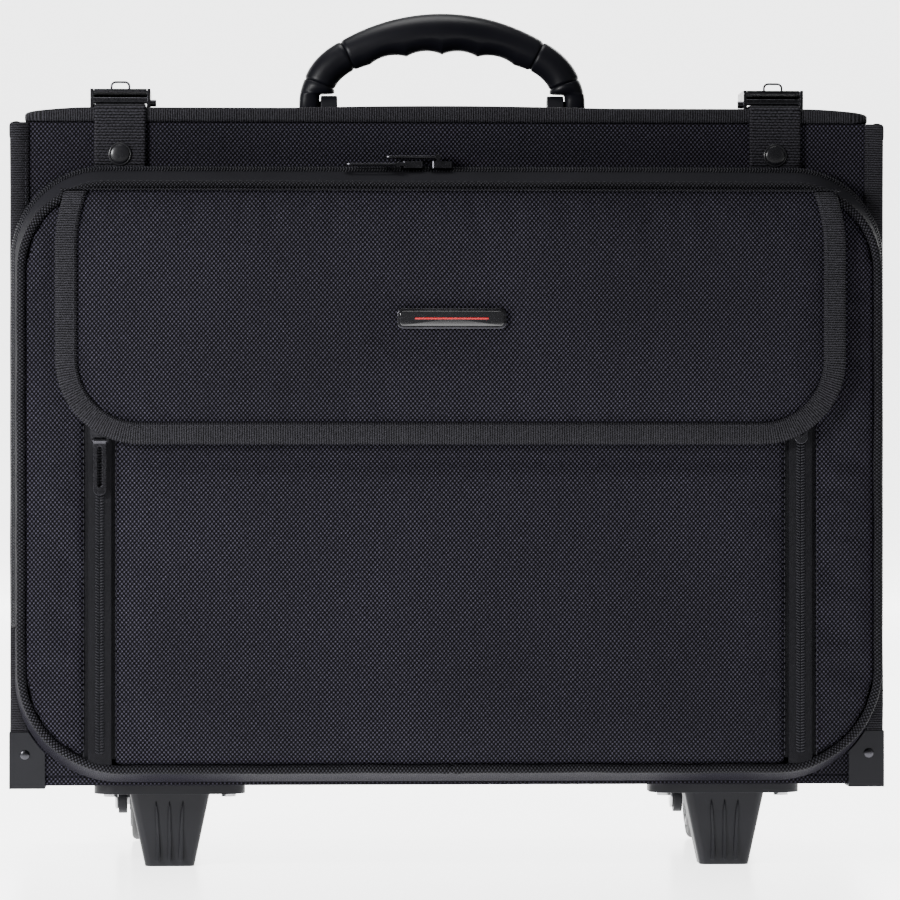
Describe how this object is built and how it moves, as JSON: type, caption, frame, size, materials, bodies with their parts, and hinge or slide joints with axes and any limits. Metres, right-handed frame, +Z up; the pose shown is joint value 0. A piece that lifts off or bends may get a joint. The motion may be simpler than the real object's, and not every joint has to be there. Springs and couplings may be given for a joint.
{
  "type": "rolling flight case",
  "caption": "Upright soft-sided rolling flight case with a hinged lid, carry handle, strap latches, zipped front pocket with a flap, telescopic handle, fixed front legs and rear wheels.",
  "frame": {"origin": "on the floor under the middle of the bounding box", "axes": "+X across the case, -Y out of the front, +Z up"},
  "size_m": [0.4812, 0.2652, 0.4762],
  "materials": {
    "ballistic_nylon": "coarse woven nylon, near black with a cool cast",
    "edge_tape": "ribbed woven tape and fabric-covered piping",
    "webbing": "close woven nylon webbing, with a metal snap cap",
    "lining_cloth": "plain thin lining cloth",
    "zip_tape": "smooth zip tape with a nylon coil",
    "moulded_plastic": "fine moulded texture",
    "soft_grip": "soft satin grip",
    "button_plastic": "smooth",
    "gunmetal": "black nickel plating",
    "plain_steel": "zinc plated",
    "tube_aluminium": "dark anodised, satin",
    "wheel_tread": "smooth polyurethane",
    "wheel_core": "moulded"
  },
  "bodies": {
    "case": {"front_wall": "ballistic_nylon", "back_wall": "ballistic_nylon", "side_wall_left": "ballistic_nylon", "side_wall_right": "ballistic_nylon", "base_panel": "ballistic_nylon", "lining": "lining_cloth", "case_binding": "edge_tape", "corner_guards": "moulded_plastic", "guard_rivets": "gunmetal", "zip_tape_fixed": "zip_tape", "snap_studs": "gunmetal", "foot_left": "moulded_plastic", "foot_right": "moulded_plastic", "foot_screws": "plain_steel", "wheel_housing_left": "moulded_plastic", "wheel_housing_right": "moulded_plastic", "wheel_axles": "plain_steel", "trolley_outer_tubes": "tube_aluminium", "trolley_bezel": "moulded_plastic", "trolley_lower_bracket": "moulded_plastic", "back_cover": "ballistic_nylon"},
    "lid": {"lid_panel": "ballistic_nylon", "lid_binding": "edge_tape", "lid_hinge_strip": "edge_tape", "handle_brackets": "gunmetal", "latch_frames": "gunmetal", "strap_tails": "webbing"},
    "carry_handle": {"handle_grip": "soft_grip", "handle_shoulders": "soft_grip", "handle_end_sleeves": "soft_grip"},
    "strap_left": {"strap_left": "webbing"},
    "strap_right": {"strap_right": "webbing"},
    "latch_left": {"latch_lever_left": "gunmetal"},
    "latch_right": {"latch_lever_right": "gunmetal"},
    "pocket": {"pocket_gusset": "ballistic_nylon", "pocket_zip": "zip_tape", "pocket_piping": "edge_tape", "pocket_side_panels": "ballistic_nylon", "pocket_centre_panel": "ballistic_nylon", "side_zips": "zip_tape"},
    "flap": {"flap_panel": "ballistic_nylon", "flap_binding": "edge_tape", "badge_plate": "gunmetal"},
    "top_slider_left": {"top_slider_left": "gunmetal"},
    "top_pull_left": {"top_tab_left": "gunmetal"},
    "top_slider_right": {"top_slider_right": "gunmetal"},
    "top_pull_right": {"top_tab_right": "gunmetal"},
    "side_slider_left": {"side_slider_left": "gunmetal"},
    "side_pull_left": {"side_tab_left": "gunmetal"},
    "side_slider_right": {"side_slider_right": "gunmetal", "side_tab_right": "gunmetal"},
    "trolley_stage_1": {"trolley_mid_tubes": "tube_aluminium"},
    "trolley_stage_2": {"trolley_inner_tubes": "tube_aluminium", "trolley_grip": "soft_grip"},
    "trolley_button": {"trolley_button": "button_plastic"},
    "wheel_left": {"tyre_left": "wheel_tread", "hub_left": "wheel_core"},
    "wheel_right": {"tyre_right": "wheel_tread", "hub_right": "wheel_core"}
  },
  "joints": [
    {"name": "lid_hinge", "type": "hinge", "parent": "case", "child": "lid", "pos_m": [0, 0.0862, 0.4114], "axis": [-1, 0, 0], "range_deg": [0, 90]},
    {"name": "carry_handle_swing", "type": "hinge", "parent": "lid", "child": "carry_handle", "pos_m": [0, -0.00045, 0.424], "axis": [1, 0, 0], "range_deg": [-75, 75]},
    {"name": "strap_left_fold", "type": "hinge", "parent": "lid", "child": "strap_left", "pos_m": [-0.18, -0.0855, 0.4154], "axis": [-1, 0, 0], "range_deg": [0, 120]},
    {"name": "strap_right_fold", "type": "hinge", "parent": "lid", "child": "strap_right", "pos_m": [0.18, -0.0855, 0.4154], "axis": [-1, 0, 0], "range_deg": [0, 120]},
    {"name": "latch_left_lift", "type": "hinge", "parent": "lid", "child": "latch_left", "pos_m": [-0.18, -0.0504, 0.4253], "axis": [-1, 0, 0], "range_deg": [0, 80]},
    {"name": "latch_right_lift", "type": "hinge", "parent": "lid", "child": "latch_right", "pos_m": [0.18, -0.0504, 0.4253], "axis": [-1, 0, 0], "range_deg": [0, 80]},
    {"name": "pocket_drop", "type": "hinge", "parent": "case", "child": "pocket", "pos_m": [0, -0.0849, 0.047], "axis": [1, 0, 0], "range_deg": [0, 60]},
    {"name": "flap_lift", "type": "hinge", "parent": "pocket", "child": "flap", "pos_m": [0, -0.1302, 0.37], "axis": [-1, 0, 0], "range_deg": [0, 150]},
    {"name": "top_slider_left_run", "type": "slide", "parent": "pocket", "child": "top_slider_left", "axis": [-1, 0, 0], "range_m": [0, 0.14]},
    {"name": "top_pull_left_swing", "type": "hinge", "parent": "top_slider_left", "child": "top_pull_left", "pos_m": [-0.0279, -0.0987, 0.3849], "axis": [0, 1, 0], "range_deg": [0, 90]},
    {"name": "top_slider_right_run", "type": "slide", "parent": "pocket", "child": "top_slider_right", "axis": [1, 0, 0], "range_m": [0, 0.14]},
    {"name": "top_pull_right_swing", "type": "hinge", "parent": "top_slider_right", "child": "top_pull_right", "pos_m": [-0.006, -0.0914, 0.3894], "axis": [0, 1, 0], "range_deg": [0, 150]},
    {"name": "side_slider_left_run", "type": "slide", "parent": "pocket", "child": "side_slider_left", "axis": [0, 0, -1], "range_m": [0, 0.16]},
    {"name": "side_pull_left_swing", "type": "hinge", "parent": "side_slider_left", "child": "side_pull_left", "pos_m": [-0.19, -0.1252, 0.234], "axis": [-1, 0, 0], "range_deg": [0, 80]},
    {"name": "side_slider_right_run", "type": "slide", "parent": "pocket", "child": "side_slider_right", "axis": [0, 0, -1], "range_m": [0, 0.16]},
    {"name": "trolley_stage_1_slide", "type": "slide", "parent": "case", "child": "trolley_stage_1", "axis": [0, 0, 1], "range_m": [0, 0.235]},
    {"name": "trolley_stage_2_slide", "type": "slide", "parent": "trolley_stage_1", "child": "trolley_stage_2", "axis": [0, 0, 1], "range_m": [0, 0.235]},
    {"name": "trolley_button_press", "type": "slide", "parent": "trolley_stage_2", "child": "trolley_button", "axis": [0, 0, -1], "range_m": [0, 0.004], "stiffness_N_per_m": 600, "springref_m": -0.004},
    {"name": "wheel_left_roll", "type": "hinge", "parent": "case", "child": "wheel_left", "pos_m": [-0.163, 0.1076, 0.025], "axis": [1, 0, 0], "continuous": true},
    {"name": "wheel_right_roll", "type": "hinge", "parent": "case", "child": "wheel_right", "pos_m": [0.163, 0.1076, 0.025], "axis": [1, 0, 0], "continuous": true}
  ]
}
